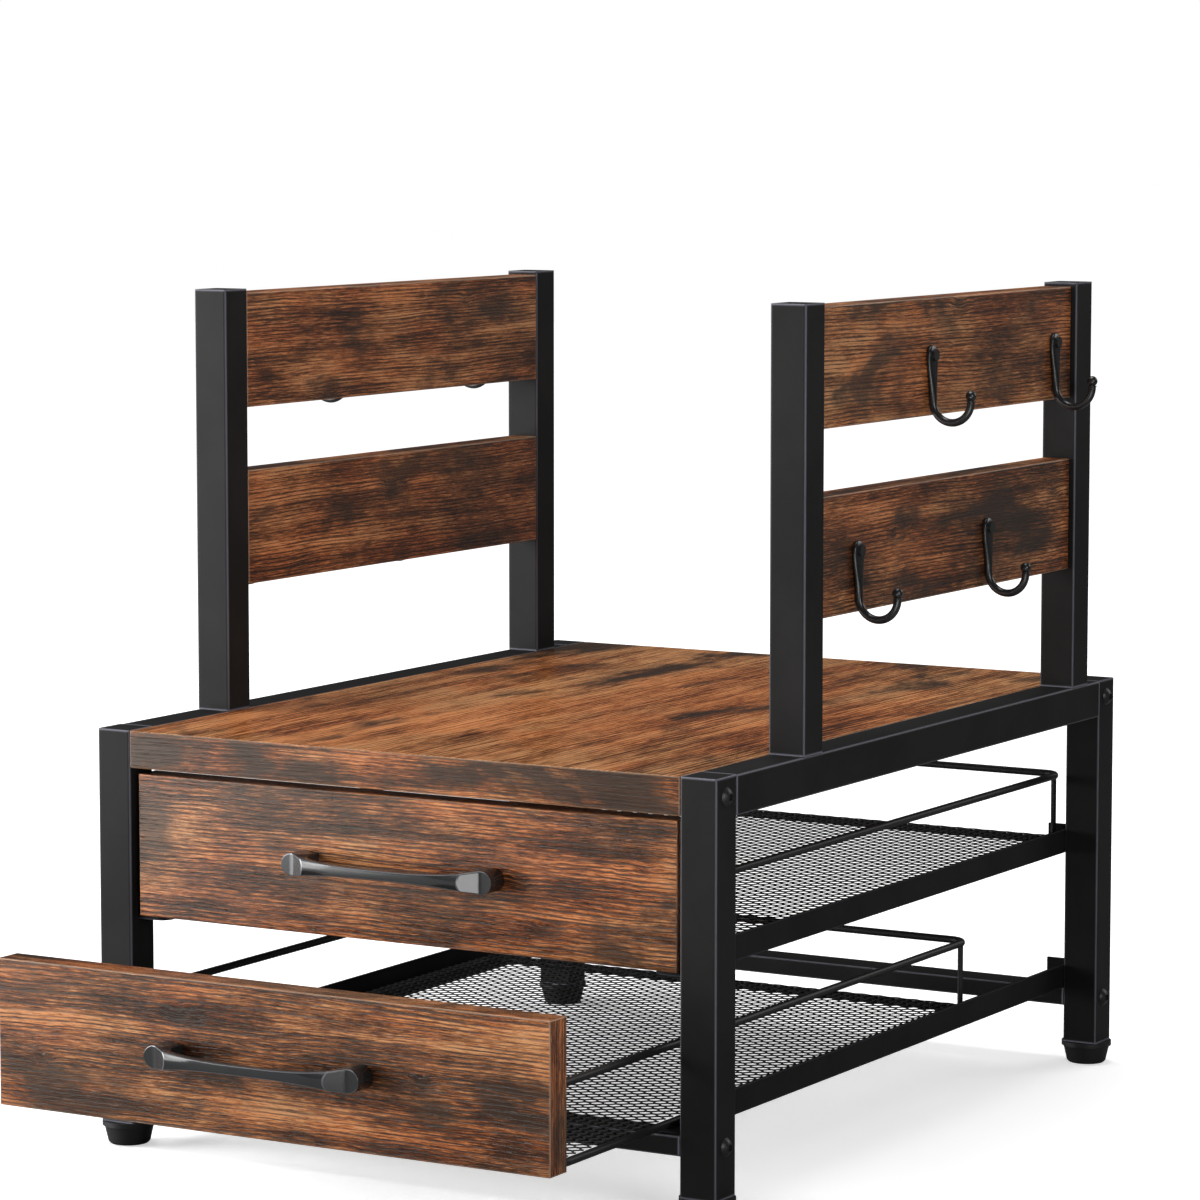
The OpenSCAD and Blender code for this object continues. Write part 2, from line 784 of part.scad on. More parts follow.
drawer_front(upper);  // upper_drawer_front
handle(upper);  // upper_handle
handle_screws(upper);  // upper_handle_screws
tray_ring(upper);  // upper_tray_ring
tray_rail(upper);  // upper_tray_rail
tray_stays(upper);  // upper_tray_stays
tray_floor(upper);  // upper_tray_floor
tray_tabs(upper);  // upper_tray_tabs
tray_screws(upper);  // upper_tray_screws
drawer_front(lower);  // lower_drawer_front
handle(lower);  // lower_handle
handle_screws(lower);  // lower_handle_screws
tray_ring(lower);  // lower_tray_ring
tray_rail(lower);  // lower_tray_rail
tray_stays(lower);  // lower_tray_stays
tray_floor(lower);  // lower_tray_floor
tray_tabs(lower);  // lower_tray_tabs
tray_screws(lower);  // lower_tray_screws
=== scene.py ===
import math

import bmesh
import bpy
import numpy as np
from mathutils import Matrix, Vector


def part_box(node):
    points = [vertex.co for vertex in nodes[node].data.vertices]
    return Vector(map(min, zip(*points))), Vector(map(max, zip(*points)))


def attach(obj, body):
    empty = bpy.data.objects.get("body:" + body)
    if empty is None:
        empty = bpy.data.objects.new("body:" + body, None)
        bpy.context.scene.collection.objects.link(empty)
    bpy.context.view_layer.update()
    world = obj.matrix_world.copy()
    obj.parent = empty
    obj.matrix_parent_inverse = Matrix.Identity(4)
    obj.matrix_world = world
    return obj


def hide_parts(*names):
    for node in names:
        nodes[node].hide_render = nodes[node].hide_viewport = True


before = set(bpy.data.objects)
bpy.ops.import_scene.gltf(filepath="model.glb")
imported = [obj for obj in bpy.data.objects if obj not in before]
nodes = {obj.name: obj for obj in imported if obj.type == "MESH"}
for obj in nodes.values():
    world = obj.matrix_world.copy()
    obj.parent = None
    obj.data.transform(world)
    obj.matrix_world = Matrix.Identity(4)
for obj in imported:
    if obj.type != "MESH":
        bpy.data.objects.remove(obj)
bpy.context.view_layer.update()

mm = 0.001
levels = ("upper", "lower")
sides = {"left": -1, "right": 1}
rows = ("front", "rear")
bodyOf = {"upper": "upper_drawer", "lower": "lower_drawer"}

scene = bpy.context.scene
print("frame loaded:", len(nodes), "nodes")


viewpoint = {
    "place": (1.22807, -2.05969, 0.53106),
    "turn": 30.367,  # degrees round the stand, from straight in front
    "tilt": 6.088,  # degrees looking down
    "lens": 139.67,
    "sensor": 36.0,
    "farthest": 60,  # metres that the camera sees
}


def placeCamera(settings):
    turn, tilt = math.radians(settings["turn"]), math.radians(settings["tilt"])
    look = Vector((-math.sin(turn) * math.cos(tilt), math.cos(turn) * math.cos(tilt), -math.sin(tilt)))
    camera = bpy.data.objects.new("studioCamera", bpy.data.cameras.new("studioCamera"))
    camera.data.lens = settings["lens"]
    camera.data.sensor_width = settings["sensor"]
    camera.data.clip_end = settings["farthest"]
    camera.location = settings["place"]
    camera.rotation_mode = "QUATERNION"
    camera.rotation_quaternion = look.to_track_quat("-Z", "Y")
    scene.collection.objects.link(camera)
    scene.camera = camera


studio = {
    "skySeen": 1.0,
    "skyLit": 0.08,
    "middle": (0, 0.06, 0.2),
    "floor": {
        "color": (0.92, 0.92, 0.92, 1),
        "unseen": (0.26, 0.26, 0.26, 1),  # what reflections and bounced light find, so that black paint stays black
        "roughness": 0.7,
        "glow": (0.55, 1.0),  # light of its own, near the stand and far from it
        "glowReach": (0.5, 2.4),
        "radius": 9.0,
        "corners": 96,
        "drop": 0.5 * mm,  # below the feet
    },
    "softboxes": {  # place, size, watts; each faces the middle of the stand
        "keyLight": ((-2.75, -1.45, 0.95), 1.7, 56),
        "nearLight": ((-1.5, -1.15, 0.5), 1.2, 37),
        "topLight": ((-0.3, 0.1, 2.6), 1.6, 54),
        "sideLight": ((2.4, -1.5, 0.8), 1.1, 26),
        "backLight": ((1.5, 2.4, 1.5), 1.4, 16),
    },
    "panels": {  # place, width across, watts; each lies on the floor and shines straight up
        "leftPanel": ((-1.6, -0.9, 0.01), 2.0, 34),
        "frontPanel": ((0.62, -1.0, 0.01), 0.9, 11),
    },
}


def softbox(name, place, size, watts, aim, shape="SQUARE"):
    light = bpy.data.lights.new(name, "AREA")
    light.shape, light.size, light.energy = shape, size, watts
    lamp = bpy.data.objects.new(name, light)
    lamp.location = place
    lamp.visible_camera = False
    lamp.rotation_mode = "QUATERNION"
    lamp.rotation_quaternion = (Vector(aim) - Vector(place)).to_track_quat("-Z", "Y")
    scene.collection.objects.link(lamp)


def meshPiece(name, points, faces, smooth=True):
    # points is an (n, 3) array in metres and faces an (m, 4) or (m, 3) array of point numbers
    mesh = bpy.data.meshes.new(name)
    mesh.vertices.add(len(points))
    mesh.vertices.foreach_set("co", np.asarray(points, np.float32).ravel())
    corners = faces.shape[1]
    mesh.loops.add(faces.size)
    mesh.loops.foreach_set("vertex_index", faces.astype(np.int32).ravel())
    mesh.polygons.add(len(faces))
    mesh.polygons.foreach_set("loop_start", np.arange(0, faces.size, corners, dtype=np.int32))
    mesh.polygons.foreach_set("use_smooth", np.full(len(faces), smooth))
    mesh.update(calc_edges=True)
    mesh.validate()
    piece = bpy.data.objects.new(name, mesh)
    scene.collection.objects.link(piece)
    return piece


def layFloor(settings):
    # a flat disc: every point lies at the radius times the cosine and sine of its angle
    corners = settings["corners"]
    angle = np.linspace(0, 2 * np.pi, corners, endpoint=False)
    rim = np.stack([np.cos(angle), np.sin(angle), np.zeros(corners)], 1) * settings["radius"]
    points = np.vstack([[[0, 0, 0]], rim])
    points[:, 2] = -settings["drop"]
    first = np.arange(corners)
    faces = np.stack([np.zeros(corners), first + 1, (first + 1) % corners + 1], 1).astype(int)
    floor = meshPiece("studioFloor", points, faces, smooth=False)
    material, tree, shader, place = newFinish("paleFloor")
    shader.inputs["Base Color"].default_value = settings["color"]
    shader.inputs["Roughness"].default_value = settings["roughness"]
    shader.inputs["Emission Color"].default_value = (1, 1, 1, 1)
    away = addNode(tree, "ShaderNodeVectorMath", {0: place}, operation="LENGTH").outputs["Value"]
    wireUp(tree, shader, {"Emission Strength": remap(tree, away, *settings["glowReach"], *settings["glow"])})
    unseen = addNode(tree, "ShaderNodeBsdfDiffuse", {"Color": settings["unseen"]}).outputs[0]
    path = addNode(tree, "ShaderNodeLightPath").outputs["Is Camera Ray"]
    seen = addNode(tree, "ShaderNodeMixShader", {0: path, 1: unseen, 2: shader.outputs[0]}).outputs[0]
    surface = next(node for node in tree.nodes if node.type == "OUTPUT_MATERIAL").inputs["Surface"]
    tree.links.new(seen, surface)
    floor.data.materials.append(material)


def lightStudio(settings):
    world = bpy.data.worlds.new("studioSky")
    world.use_nodes = True
    tree = world.node_tree
    tree.nodes.clear()
    seen = tree.nodes.new("ShaderNodeBackground")
    seen.inputs["Strength"].default_value = settings["skySeen"]
    lit = tree.nodes.new("ShaderNodeBackground")
    lit.inputs["Strength"].default_value = settings["skyLit"]
    for sky in (seen, lit):
        sky.inputs["Color"].default_value = (1, 1, 1, 1)
    path = tree.nodes.new("ShaderNodeLightPath")
    mix = tree.nodes.new("ShaderNodeMixShader")
    out = tree.nodes.new("ShaderNodeOutputWorld")
    tree.links.new(path.outputs["Is Camera Ray"], mix.inputs[0])
    tree.links.new(lit.outputs[0], mix.inputs[1])
    tree.links.new(seen.outputs[0], mix.inputs[2])
    tree.links.new(mix.outputs[0], out.inputs[0])
    scene.world = world
    scene.view_settings.view_transform = "Standard"
    for name, (place, size, watts) in settings["softboxes"].items():
        softbox(name, place, size, watts, settings["middle"])
    for name, (place, size, watts) in settings["panels"].items():
        softbox(name, place, size, watts, (place[0], place[1], 1), "DISK")


def newFinish(name):
    # a material with its shader and its Object coordinates, ready to wire up
    material = bpy.data.materials.new(name)
    material.use_nodes = True
    tree = material.node_tree
    shader = next(node for node in tree.nodes if node.type == "BSDF_PRINCIPLED")
    place = tree.nodes.new("ShaderNodeTexCoord").outputs["Object"]
    return material, tree, shader, place


def wireUp(tree, shader, wires, height=None, bump=None):
    # where there is a height, bump holds its strength and its depth in metres
    for socket, source in wires.items():
        tree.links.new(source, shader.inputs[socket])
    if bump:
        strength, depth = bump
        node = addNode(tree, "ShaderNodeBump", {"Height": height, "Strength": strength, "Distance": depth})
        tree.links.new(node.outputs[0], shader.inputs["Normal"])


def addNode(tree, kind, wires=None, **values):
    # wires maps a socket's name or number to an output or a constant; values are the node's own settings
    node = tree.nodes.new(kind)
    for key, value in values.items():
        setattr(node, key, value)
    for socket, source in (wires or {}).items():
        target = node.inputs[socket]
        if isinstance(source, bpy.types.NodeSocket):
            tree.links.new(source, target)
        else:
            target.default_value = source
    return node


def newGroup(name, takes, gives):
    # takes and gives map a socket's name to its type and, for an input, its default
    tree = bpy.data.node_groups.new(name, "ShaderNodeTree")
    for label, (kind, default) in takes.items():
        socket = tree.interface.new_socket(label, in_out="INPUT", socket_type="NodeSocket" + kind)
        if default is not None:
            socket.default_value = default
    for label, kind in gives.items():
        tree.interface.new_socket(label, in_out="OUTPUT", socket_type="NodeSocket" + kind)
    return tree, tree.nodes.new("NodeGroupInput").outputs, tree.nodes.new("NodeGroupOutput").inputs


def mathStep(tree, operation, a, b=0.0, c=0.0):
    return addNode(tree, "ShaderNodeMath", {0: a, 1: b, 2: c}, operation=operation).outputs[0]


def stretchNoise(tree, place, stretch, detail, roughness=0.55, twist=0.0):
    # fractal noise read at place times stretch, in cycles per millimetre along each axis
    scaled = addNode(tree, "ShaderNodeVectorMath", {0: place, 1: stretch}, operation="MULTIPLY").outputs[0]
    wires = {"Vector": scaled, "Scale": 1.0, "Detail": detail, "Roughness": roughness, "Distortion": twist}
    return addNode(tree, "ShaderNodeTexNoise", wires).outputs[0]


def remap(tree, value, low, high, toLow=0.0, toHigh=1.0):
    wires = {"Value": value, "From Min": low, "From Max": high, "To Min": toLow, "To Max": toHigh}
    return addNode(tree, "ShaderNodeMapRange", wires, interpolation_type="SMOOTHSTEP").outputs[0]


def colorRamp(tree, value, stops):
    node = addNode(tree, "ShaderNodeValToRGB", {0: value})
    ramp = node.color_ramp
    while len(ramp.elements) < len(stops):
        ramp.elements.new(0.5)
    for element, (at, color) in zip(ramp.elements, stops):
        element.position = at
        element.color = (*color, 1)
    return node.outputs[0]


def blendColor(tree, factor, a, b, mode="MIX"):
    node = addNode(tree, "ShaderNodeMix", data_type="RGBA", blend_type=mode)
    for socket, source in ((node.inputs[0], factor), (node.inputs[6], a), (node.inputs[7], b)):
        if isinstance(source, bpy.types.NodeSocket):
            tree.links.new(source, socket)
        else:
            socket.default_value = source
    return node.outputs[2]


def makeEdgeLine():
    # 1 along the edges of a box: the second largest of the three distances past the faces, near zero there
    tree, take, give = newGroup(
        "edgeLine",
        {"Place": ("Vector", None), "Centre": ("Vector", None), "Half": ("Vector", None), "Width": ("Float", 0.001)},
        {"Mask": "Float"},
    )
    off = addNode(tree, "ShaderNodeVectorMath", {0: take["Place"], 1: take["Centre"]}, operation="SUBTRACT")
    size = addNode(tree, "ShaderNodeVectorMath", {0: off.outputs[0]}, operation="ABSOLUTE")
    past = addNode(tree, "ShaderNodeVectorMath", {0: size.outputs[0], 1: take["Half"]}, operation="SUBTRACT")
    x, y, z = addNode(tree, "ShaderNodeSeparateXYZ", {0: past.outputs[0]}).outputs
    low = mathStep(tree, "MINIMUM", x, y)
    high = mathStep(tree, "MAXIMUM", x, y)
    second = mathStep(tree, "MAXIMUM", low, mathStep(tree, "MINIMUM", high, z))
    width = mathStep(tree, "MULTIPLY", take["Width"], -1.0)
    tree.links.new(remap(tree, second, width, 0.0), give["Mask"])
    return tree


grainLook = {
    # each noise: its cycles per millimetre along, across and into the wood, its detail, roughness and twist
    "wobble": ((0.09, 0.14, 0.14), 3.0),
    "slow": ((0.005, 0.020, 0.020), 2.0),
    "quick": ((0.030, 0.10, 0.10), 2.0),
    "ripple": ((0.010, 0.34, 0.34), 2.0),
    "flecks": ((0.17, 1.5, 1.5), 4.0, 0.74),
    "strong": ((0.020, 0.07, 0.07), 3.0),
    "fibres": ((0.09, 2.1, 2.1), 4.0, 0.68),
    "streaks": ((0.006, 0.11, 0.11), 4.0, 0.6),
    "tones": ((0.014, 0.034, 0.034), 5.0, 0.65),
    "clouds": ((0.012, 0.026, 0.026), 6.0, 0.62, 0.3),
    "hue": ((0.012, 0.028, 0.028), 3.0),
    "knotCells": (0.015, 0.038, 0.038),  # places for a knot, in cells per millimetre
    "knotRagged": (-0.36, 0.18),  # share of the wobble in a knot's outline, and what evens it out
    "knotEdge": (0.26, 0.06),  # distance from a cell's middle where a knot begins, and where it is full
    "knotRare": (0.50, 0.60),  # only cells numbered past these hold a knot
    "sway": (9.0, 1.0, 1.8),  # mm by which slow noise, quick noise and knots bend the growth lines
    "unevenLines": 1.6,  # lines' widths gained or lost by the ripple
    "waveShare": 0.28,  # share of the even wave in the lines, against the flecks
    "lineEdge": (0.58, 0.71),
    "lineFade": (0.36, 0.56, 0.5, 1.0),
    "toneShare": (0.70, 0.50, 0.50, 0.42, 0.16),  # of fibres, streaks, tones, flecks and warmth
    "toneRange": (0.98, 1.30),
    "colors": [
        (0.0, (0.025, 0.009, 0.004)),
        (0.28, (0.098, 0.032, 0.011)),
        (0.55, (0.235, 0.082, 0.027)),
        (0.8, (0.375, 0.146, 0.050)),
        (1.0, (0.550, 0.265, 0.112)),
    ],
    "redder": (1.10, 0.90, 0.78, 1),
    "redderPatches": (0.42, 0.60),
    "furrow": (0.10, 0.08, 0.07, 1),
    "furrowShare": 0.92,
    "charEdge": (0.50, 0.36),
    "charColor": (0.026, 0.014, 0.009, 1),
    "knotShare": 0.8,
    "knotColor": (0.014, 0.010, 0.009, 1),
    "streakEdge": (0.3, 0.7),
    "roughness": (0.06, 0.10),  # added by streaks and by lines
    "height": (-0.8, 0.5),  # of lines and of fibres
}


def makeRusticGrain(look):
    # wood read in millimetres, with X along the grain and Y across it. Growth lines are a sine of Y, swayed by slow
    # noise and drawn round knots; over them lie fine fibres, short flecks, clouds of tone and charred patches
    tree, take, give = newGroup(
        "rusticGrain",
        {"Place": ("Vector", None), "Char": ("Float", 0.5), "Warmth": ("Float", 0.5), "Spacing": ("Float", 2.0)},
        {"Color": "Color", "Roughness": "Float", "Height": "Float"},
    )

    def noise(name, where):
        return stretchNoise(tree, where, *look[name])

    place = take["Place"]
    wobble = noise("wobble", place)
    shifted = addNode(tree, "ShaderNodeVectorMath", {0: place, 1: wobble}, operation="ADD").outputs[0]
    cellWires = {0: shifted, 1: look["knotCells"]}
    cells = addNode(tree, "ShaderNodeVectorMath", cellWires, operation="MULTIPLY").outputs[0]
    voronoi = addNode(tree, "ShaderNodeTexVoronoi", {"Vector": cells, "Scale": 1.0}).outputs
    number = addNode(tree, "ShaderNodeSeparateColor", {0: voronoi["Color"]}).outputs[0]
    ragged, even = look["knotRagged"]
    reach = mathStep(tree, "MULTIPLY_ADD", wobble, ragged, mathStep(tree, "ADD", voronoi["Distance"], even))
    knot = mathStep(tree, "MULTIPLY", remap(tree, reach, *look["knotEdge"]), remap(tree, number, *look["knotRare"]))

    slowSway, quickSway, knotSway = look["sway"]
    quick = mathStep(tree, "MULTIPLY", noise("quick", place), quickSway)
    sway = mathStep(tree, "MULTIPLY_ADD", noise("slow", place), slowSway, quick)
    sway = mathStep(tree, "MULTIPLY_ADD", knot, knotSway, sway)
    x, y, z = addNode(tree, "ShaderNodeSeparateXYZ", {0: place}).outputs
    bentY = mathStep(tree, "ADD", y, sway)
    bent = addNode(tree, "ShaderNodeCombineXYZ", {0: x, 1: bentY, 2: z}).outputs[0]

    lines = mathStep(tree, "DIVIDE", bentY, take["Spacing"])
    turns = mathStep(tree, "MULTIPLY_ADD", noise("ripple", bent), look["unevenLines"], lines)
    wave = mathStep(tree, "SINE", mathStep(tree, "MULTIPLY", turns, 2 * math.pi))
    flecks = noise("flecks", bent)
    broken = mathStep(tree, "MULTIPLY_ADD", wave, look["waveShare"], flecks)
    fade = remap(tree, noise("strong", bent), *look["lineFade"])
    line = mathStep(tree, "MULTIPLY", remap(tree, broken, *look["lineEdge"]), fade)
    fibres, streaks, tones = noise("fibres", bent), noise("streaks", bent), noise("tones", place)

    tone = 0.0
    for source, share in zip((fibres, streaks, tones, flecks, take["Warmth"]), look["toneShare"]):
        tone = mathStep(tree, "MULTIPLY_ADD", source, share, tone)
    base = colorRamp(tree, remap(tree, tone, *look["toneRange"]), look["colors"])
    redder = blendColor(tree, 1.0, base, look["redder"], "MULTIPLY")
    base = blendColor(tree, remap(tree, noise("hue", place), *look["redderPatches"]), base, redder)
    furrow = blendColor(tree, 1.0, base, look["furrow"], "MULTIPLY")
    color = blendColor(tree, mathStep(tree, "MULTIPLY", line, look["furrowShare"]), base, furrow)
    charred = remap(tree, noise("clouds", bent), *look["charEdge"])
    color = blendColor(tree, mathStep(tree, "MULTIPLY", charred, take["Char"]), color, look["charColor"])
    color = blendColor(tree, mathStep(tree, "MULTIPLY", knot, look["knotShare"]), color, look["knotColor"])
    tree.links.new(color, give["Color"])
    streakRough, lineRough = look["roughness"]
    rough = remap(tree, streaks, *look["streakEdge"], 0.0, streakRough)
    tree.links.new(mathStep(tree, "MULTIPLY_ADD", line, lineRough, rough), give["Roughness"])
    lineHeight, fibreHeight = look["height"]
    height = mathStep(tree, "MULTIPLY_ADD", line, lineHeight, mathStep(tree, "MULTIPLY", fibres, fibreHeight))
    tree.links.new(height, give["Height"])
    return tree


coatLook = {
    # each noise: its cycles per millimetre and its detail
    "peel": ((1.1, 1.1, 1.1), 2.0),
    "grit": ((4.0, 4.0, 4.0), 1.0),
    "cloud": ((0.02, 0.02, 0.02), 3.0),
    "paler": (1.5, 1.45, 1.42, 1),  # the colour in the pale clouds, as a multiple
    "cloudEdge": (0.35, 0.65),
    "roughness": (0.94, 0.12),  # without gloss, and added by the grit
    "height": (0.7, 0.3),  # of peel and grit
}


def makePowderCoat(look):
    # sprayed paint: an orange-peel height, a fine grit and slow clouds of tone
    tree, take, give = newGroup(
        "powderCoat",
        {"Place": ("Vector", None), "Color": ("Color", (0.03, 0.03, 0.03, 1)), "Gloss": ("Float", 0.4)},
        {"Color": "Color", "Roughness": "Float", "Height": "Float"},
    )
    inMm = addNode(tree, "ShaderNodeVectorMath", {0: take["Place"], 1: (1 / mm,) * 3}, operation="MULTIPLY").outputs[0]
    peel, grit, cloud = (stretchNoise(tree, inMm, *look[name]) for name in ("peel", "grit", "cloud"))
    paler = blendColor(tree, 1.0, take["Color"], look["paler"], "MULTIPLY")
    color = blendColor(tree, remap(tree, cloud, *look["cloudEdge"]), take["Color"], paler)
    tree.links.new(color, give["Color"])
    matt, gritRough = look["roughness"]
    rough = mathStep(tree, "MULTIPLY_ADD", grit, gritRough, mathStep(tree, "MULTIPLY_ADD", take["Gloss"], -1.0, matt))
    tree.links.new(rough, give["Roughness"])
    peelHeight, gritHeight = look["height"]
    height = mathStep(tree, "MULTIPLY_ADD", peel, peelHeight, mathStep(tree, "MULTIPLY", grit, gritHeight))
    tree.links.new(height, give["Height"])
    return tree


edgeLine = makeEdgeLine()
rusticGrain = makeRusticGrain(grainLook)
powderCoat = makePowderCoat(coatLook)


def useGroup(tree, group, **wires):
    node = addNode(tree, "ShaderNodeGroup", node_tree=group)
    for label, source in wires.items():
        if isinstance(source, bpy.types.NodeSocket):
            tree.links.new(source, node.inputs[label])
        else:
            node.inputs[label].default_value = source
    return node.outputs


def edgeMask(tree, place, node, width):
    low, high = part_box(node)
    centre, half = tuple((low + high) / 2), tuple((high - low) / 2)
    return useGroup(tree, edgeLine, Place=place, Centre=centre, Half=half, Width=width)["Mask"]


def dress(node, material):
    mesh = nodes[node].data
    mesh.materials.clear()
    mesh.materials.append(material)


wood = {
    "grainOn": {  # for faces that look along X, Y or Z: the axes along and across the grain, its fineness, and a slide
        "front": (("z", "y", 1, (0, 0, 0)), ("x", "z", 1, (0, 0, 61)), ("x", "y", 1, (0, 0, 122))),
        "top": (("y", "z", 1, (0, 0, 0)), ("x", "z", 1, (-75, 0, 300)), ("y", "x", 0.62, (0, 0, 76))),
        "slat": (("y", "z", 1, (0, 0, 0)), ("z", "x", 1, (0, 0, 61)), ("y", "x", 1, (0, 0, 122))),
    },
    "edgeWidth": 1.1 * mm,
    "edgeHighlightColor": (0.48, 0.31, 0.20, 1),
    "sheenTint": (1.0, 0.90, 0.80, 1),
    "bump": (0.7, 0.3 * mm),  # strength and depth
    # cut, shift in mm, line spacing in mm, char, warmth and sheen of upright and level faces, roughness, and strength
    # of the painted highlight along the edges
    "panels": {
        # painted light: the top board's level face gets more warmth than its upright faces, so its top is painted
        # lighter than its edges
        "top_board": ("top", (640, 1310, 90), 2.1, 0.95, (0.55, 1.0), (0.35, 0.05), 0.20, 0.4),
        "upper_drawer_front": ("front", (500, 70, 20), 2.3, 0.82, (0.5, 0.5), (0.5, 0.3), 0.18, 0.12),
        "lower_drawer_front": ("front", (1240, 640, 200), 2.3, 0.82, (0.5, 0.5), (0.5, 0.3), 0.18, 0.5),
        "slat_upper_left": ("slat", (150, 900, 33), 2.0, 0.85, (0.5, 0.5), (0.44, 0.3), 0.34, 0.5),
        "slat_upper_right": ("slat", (760, 420, 130), 2.0, 0.85, (0.75, 0.75), (0.44, 0.3), 0.34, 0.5),
        "slat_lower_left": ("slat", (310, 60, 250), 2.0, 0.85, (0.5, 0.5), (0.44, 0.3), 0.34, 0.5),
        # painted shade: this slat gets more char and less warmth than the other slats, so it is painted darker
        "slat_lower_right": ("slat", (900, 205, 510), 2.0, 0.95, (0.45, 0.45), (0.44, 0.3), 0.34, 0.5),
    },
}


squareOn = 0.7  # a face looks along an axis where that part of its normal is longer than this


def alongGrain(tree, ways, shift):
    # the place in millimetres on each face, X along its grain and Y across it, and whether the face is level; the
    # face is told by its normal
    coords = tree.nodes.new("ShaderNodeTexCoord").outputs
    inMm = addNode(tree, "ShaderNodeVectorMath", {0: coords["Object"], 1: (1 / mm,) * 3}, operation="MULTIPLY")
    axes = dict(zip("xyz", addNode(tree, "ShaderNodeSeparateXYZ", {0: inMm.outputs[0]}).outputs))
    size = addNode(tree, "ShaderNodeVectorMath", {0: coords["Normal"]}, operation="ABSOLUTE").outputs[0]
    facing = addNode(tree, "ShaderNodeSeparateXYZ", {0: size}).outputs
    places = []
    for along, across, fine, slide in ways:
        flat = addNode(tree, "ShaderNodeCombineXYZ", {0: axes[along], 1: axes[across]}).outputs[0]
        wires = {0: flat, 1: (fine,) * 3, 2: tuple(np.add(shift, slide))}
        places.append(addNode(tree, "ShaderNodeVectorMath", wires, operation="MULTIPLY_ADD").outputs[0])
    chosen = places[1]
    for axis in (0, 2):
        mask = mathStep(tree, "GREATER_THAN", facing[axis], squareOn)
        chosen = addNode(tree, "ShaderNodeMix", {0: mask, 4: chosen, 5: places[axis]}, data_type="VECTOR").outputs[1]
    return chosen, mask


def paintWood(settings):
    for node, (kind, shift, spacing, char, warmth, sheen, rough, edge) in settings["panels"].items():
        material, tree, shader, place = newFinish("rusticWood." + node)
        along, level = alongGrain(tree, settings["grainOn"][kind], shift)
        # where level and upright faces get different warmth, as on the top board, it is painted light from above
        warm = remap(tree, level, 0.0, 1.0, *warmth)
        grain = useGroup(tree, rusticGrain, Place=along, Char=char, Warmth=warm, Spacing=spacing)
        # a painted highlight along the panel's box edges
        line = mathStep(tree, "MULTIPLY", edgeMask(tree, place, node, settings["edgeWidth"]), edge)
        color = blendColor(tree, line, grain["Color"], settings["edgeHighlightColor"])
        roughness = mathStep(tree, "ADD", grain["Roughness"], rough)
        gleam = remap(tree, level, 0.0, 1.0, *sheen)
        wires = {"Base Color": color, "Roughness": roughness, "Specular IOR Level": gleam}
        wireUp(tree, shader, wires, grain["Height"], settings["bump"])
        shader.inputs["Specular Tint"].default_value = settings["sheenTint"]
        dress(node, material)


steel = {
    # edge and edgeWidth: strength and width of a painted highlight along the corners of each tube and runner
    "tube": {"color": (0.0085, 0.0082, 0.0082, 1), "gloss": 0.50, "edge": 0.8, "edgeWidth": 1.3 * mm},
    "runner": {"color": (0.008, 0.008, 0.009, 1), "gloss": 0.40, "edge": 0.15, "edgeWidth": 0.7 * mm},
    "edgeHighlightColor": (0.20, 0.20, 0.24, 1),
    "wornAndHighlightColor": (0.20, 0.21, 0.23, 1),
    "bump": (0.12, 0.05 * mm),  # strength and depth
    "sheen": 0.11,  # specular level of the matt paint
}


def steelFinish(name, look, edgeNode=None):
    material, tree, shader, place = newFinish(name)
    coat = useGroup(tree, powderCoat, Place=place, Color=look["color"], Gloss=look["gloss"])
    color = coat["Color"]
    # a painted highlight: the colour is lighter along the part's box edges
    if edgeNode:
        line = mathStep(tree, "MULTIPLY", edgeMask(tree, place, edgeNode, look["edgeWidth"]), look["edge"])
        color = blendColor(tree, line, color, steel["edgeHighlightColor"])
    # worn paint and a painted highlight: lighter on the rims and rounded edges that the mesh attribute marks
    if look.get("wearAndHighlight"):
        rimWearAndHighlight = addNode(tree, "ShaderNodeAttribute", attribute_name="wearAndHighlight").outputs["Fac"]
        color = blendColor(tree, mathStep(tree, "MULTIPLY", rimWearAndHighlight, look["wearAndHighlight"]), color, steel["wornAndHighlightColor"])
    wires = {"Base Color": color, "Roughness": coat["Roughness"]}
    wireUp(tree, shader, wires, coat["Height"], steel["bump"])
    shader.inputs["Specular IOR Level"].default_value = look.get("sheen", steel["sheen"])
    return material


def paintSteel():
    tubes = [f"post_{row}_{side}" for row in rows for side in sides]
    tubes += [f"upright_{row}_{side}" for row in rows for side in sides]
    tubes += [f"top_rail_{side}" for side in sides] + [f"cross_bar_{row}" for row in rows]
    for node in tubes:
        dress(node, steelFinish("blackTube." + node, steel["tube"], node))
    for level in levels:
        for side in sides:
            node = f"runner_{level}_{side}"
            dress(node, steelFinish("blackRunner." + node, steel["runner"], node))


plain = {  # color, gloss, specular level, strength of worn paint and painted highlight on rims and edges
    "wireCoat": ((0.009, 0.009, 0.009, 1), 0.55, 0.3, 0.0),
    "meshCoat": ((0.010, 0.010, 0.010, 1), 0.5, 0.4, 0.0),
    "castIron": ((0.010, 0.011, 0.012, 1), 0.83, 0.80, 0.5),
    "hookIron": ((0.008, 0.008, 0.009, 1), 0.72, 0.5, 0.0),
    "boltBlack": ((0.009, 0.009, 0.009, 1), 0.6, 0.4, 0.0),
    "footPlastic": ((0.008, 0.008, 0.009, 1), 0.5, 0.4, 0.0),
    "zincSteel": ((0.45, 0.46, 0.47, 1), 0.6, 0.5, 0.0),
}


